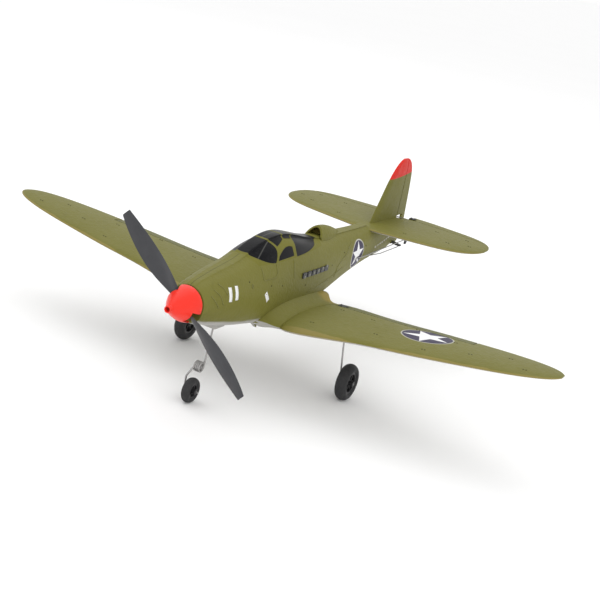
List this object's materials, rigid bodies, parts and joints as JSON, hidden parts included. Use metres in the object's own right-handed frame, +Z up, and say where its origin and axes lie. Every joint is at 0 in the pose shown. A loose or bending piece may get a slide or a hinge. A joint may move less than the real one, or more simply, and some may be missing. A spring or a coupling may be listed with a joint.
{
  "type": "rc foam airplane",
  "caption": "Low-wing radio-controlled foam airplane with tricycle wire landing gear, geared propeller, hinged control surfaces, pushrods, battery hatch and onboard electronics",
  "frame": {"origin": "on the ground under the middle of the airplane's bounding box", "axes": "nose towards -Y, the airplane's left wing towards +X, +Z up"},
  "size_m": [0.4008, 0.3638, 0.1345],
  "materials": {
    "olive_foam": "satin",
    "canopy_foam": "gloss",
    "olive_plastic": "satin",
    "black_plastic": "matte",
    "white_plastic": "satin",
    "red_plastic": "satin",
    "grey_plastic": "satin",
    "steel_wire": "satin",
    "steel": "satin",
    "brass": "satin",
    "carbon_rod": "satin",
    "battery_wrap": "satin",
    "lead": "matte",
    "board": "satin",
    "tyre_foam": "matte"
  },
  "bodies": {
    "airframe": {"fuselage_left": "olive_foam", "fuselage_right": "olive_foam", "wing_left": "olive_foam", "wing_right": "olive_foam", "stabiliser": "olive_foam", "fin": "olive_foam", "canopy": "canopy_foam", "air_scoop": "olive_plastic", "exhaust_stubs": "black_plastic", "hatch_catch": "steel_wire", "wing_spars": "carbon_rod", "aileron_servos": "black_plastic", "elevator_servo": "black_plastic", "rudder_servo": "black_plastic", "motor": "steel", "gearbox_frame": "black_plastic", "shaft_bearings": "brass", "battery": "battery_wrap", "battery_lead": "lead", "motor_lead": "lead", "receiver_board": "board", "nose_leg": "steel_wire", "main_leg_left": "steel_wire", "main_leg_right": "steel_wire", "nose_leg_socket": "black_plastic", "leg_sockets": "black_plastic", "wheel_collars": "white_plastic"},
    "propeller_assembly": {"spinner": "red_plastic", "propeller": "grey_plastic", "propeller_screw": "steel", "propeller_shaft": "steel", "spur_gear": "white_plastic"},
    "motor_rotor": {"motor_shaft": "steel", "motor_pinion": "brass"},
    "aileron_left_body": {"aileron_left": "olive_foam", "aileron_horn_left": "white_plastic"},
    "aileron_right_body": {"aileron_right": "olive_foam", "aileron_horn_right": "white_plastic"},
    "elevator_body": {"elevator_left": "olive_foam", "elevator_right": "olive_foam", "elevator_joiner": "steel_wire", "elevator_horn": "white_plastic"},
    "rudder_body": {"rudder": "olive_foam", "rudder_horn": "white_plastic"},
    "elevator_link": {"elevator_slider": "white_plastic", "elevator_pushrod": "steel_wire"},
    "rudder_link": {"rudder_slider": "white_plastic", "rudder_pushrod": "steel_wire"},
    "aileron_link_left": {"aileron_slider_left": "white_plastic", "aileron_pushrod_left": "steel_wire"},
    "aileron_link_right": {"aileron_slider_right": "white_plastic", "aileron_pushrod_right": "steel_wire"},
    "nose_wheel": {"nose_tyre": "tyre_foam", "nose_hub": "black_plastic"},
    "main_wheel_left": {"main_tyre_left": "tyre_foam", "main_hub_left": "black_plastic"},
    "main_wheel_right": {"main_tyre_right": "tyre_foam", "main_hub_right": "black_plastic"},
    "hatch": {"battery_hatch": "olive_foam"}
  },
  "joints": [
    {"name": "propeller_spin", "type": "hinge", "parent": "airframe", "child": "propeller_assembly", "pos_m": [0, -0.16468, 0.0695], "axis": [0, 1, 0], "continuous": true},
    {"name": "motor_spin", "type": "hinge", "parent": "airframe", "child": "motor_rotor", "pos_m": [0, -0.13838, 0.0605], "axis": [0, 1, 0], "continuous": true},
    {"name": "aileron_left_hinge", "type": "hinge", "parent": "airframe", "child": "aileron_left_body", "pos_m": [0.038, -0.01247, 0.05124], "axis": [0.9745, -0.192, 0.116], "range_deg": [-20, 20]},
    {"name": "aileron_right_hinge", "type": "hinge", "parent": "airframe", "child": "aileron_right_body", "pos_m": [-0.038, -0.01247, 0.05124], "axis": [0.9745, 0.192, -0.116], "range_deg": [-20, 20]},
    {"name": "elevator_hinge", "type": "hinge", "parent": "airframe", "child": "elevator_body", "pos_m": [0, 0.16612, 0.0848], "axis": [1, 0, 0], "range_deg": [-20, 20]},
    {"name": "rudder_hinge", "type": "hinge", "parent": "airframe", "child": "rudder_body", "pos_m": [0, 0.15692, 0.0848], "axis": [0, 0, 1], "range_deg": [-20, 20]},
    {"name": "elevator_link_slide", "type": "slide", "parent": "airframe", "child": "elevator_link", "axis": [0, 1, 0], "range_m": [-0.00592, 0.00592]},
    {"name": "rudder_link_slide", "type": "slide", "parent": "airframe", "child": "rudder_link", "axis": [0, 1, 0], "range_m": [-0.00309, 0.00309]},
    {"name": "aileron_link_left_slide", "type": "slide", "parent": "airframe", "child": "aileron_link_left", "axis": [0, 1, 0], "range_m": [-0.00251, 0.00251]},
    {"name": "aileron_link_right_slide", "type": "slide", "parent": "airframe", "child": "aileron_link_right", "axis": [0, 1, 0], "range_m": [-0.0026, 0.0026]},
    {"name": "nose_wheel_spin", "type": "hinge", "parent": "airframe", "child": "nose_wheel", "pos_m": [0, -0.13328, 0.008], "axis": [1, 0, 0], "continuous": true},
    {"name": "main_wheel_left_spin", "type": "hinge", "parent": "airframe", "child": "main_wheel_left", "pos_m": [0.0624, -0.03608, 0.0125], "axis": [1, 0, 0], "continuous": true},
    {"name": "main_wheel_right_spin", "type": "hinge", "parent": "airframe", "child": "main_wheel_right", "pos_m": [-0.0624, -0.03608, 0.0125], "axis": [1, 0, 0], "continuous": true},
    {"name": "hatch_hinge", "type": "hinge", "parent": "airframe", "child": "hatch", "pos_m": [0, -0.10988, 0.0477], "axis": [-1, 0, 0], "range_deg": [0, 75]}
  ],
  "couplings": [
    {"joint": "motor_spin", "follows": "propeller_spin", "ratio": -4},
    {"joint": "aileron_left_hinge", "follows": "aileron_link_left_slide", "rad_per_m": 138.97},
    {"joint": "aileron_right_hinge", "follows": "aileron_link_left_slide", "rad_per_m": -138.97},
    {"joint": "aileron_link_right_slide", "follows": "aileron_link_left_slide", "ratio": -1},
    {"joint": "elevator_hinge", "follows": "elevator_link_slide", "rad_per_m": 58.955},
    {"joint": "rudder_hinge", "follows": "rudder_link_slide", "rad_per_m": 113.11}
  ]
}
